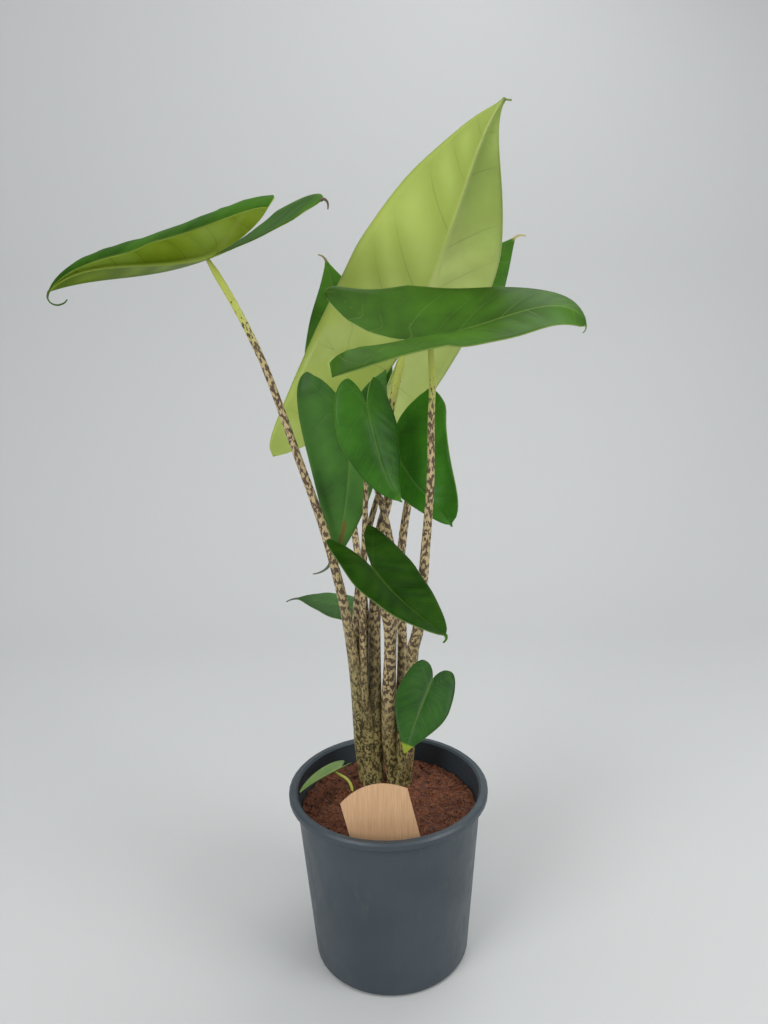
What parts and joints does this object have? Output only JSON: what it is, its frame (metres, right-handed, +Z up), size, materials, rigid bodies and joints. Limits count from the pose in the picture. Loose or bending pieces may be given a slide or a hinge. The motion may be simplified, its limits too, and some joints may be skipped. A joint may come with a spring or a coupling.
{
  "type": "potted alocasia zebrina",
  "caption": "Potted foliage plant: arrow-shaped green leaves on tall dark-banded stalks rising from soil in a round nursery pot with a small blank wooden label",
  "frame": {"origin": "middle of the pot's underside, on the ground", "axes": "+Z up along the pot's axis, +X to the right and +Y away from someone who looks at the label"},
  "size_m": [0.4535, 0.2704, 0.7457],
  "materials": {
    "pot_plastic": "satin, dark blue-grey",
    "soil": "loose, damp, reddish brown",
    "label_wood": "bare, fine vertical grain",
    "petiole": "smooth, cream to olive with dark zigzag bands",
    "blade": "glossy green upper side, paler matt underside",
    "young_leaf": "pale yellow-green, satin"
  },
  "bodies": {
    "root": {"pot": "pot_plastic", "soil": "soil", "label": "label_wood", "left_plantlet_petioles": "petiole", "right_plantlet_petioles": "petiole", "blade_far_left": "blade", "blade_tall": "blade", "blade_front_right": "blade", "blade_right_middle": "blade", "blade_left_hanging": "blade", "blade_centre": "blade", "blade_behind_right": "blade", "blade_behind_left": "blade", "blade_front_glossy": "blade", "blade_low_right": "blade", "blade_low_left": "blade", "young_leaf": "young_leaf"}
  },
  "joints": []
}
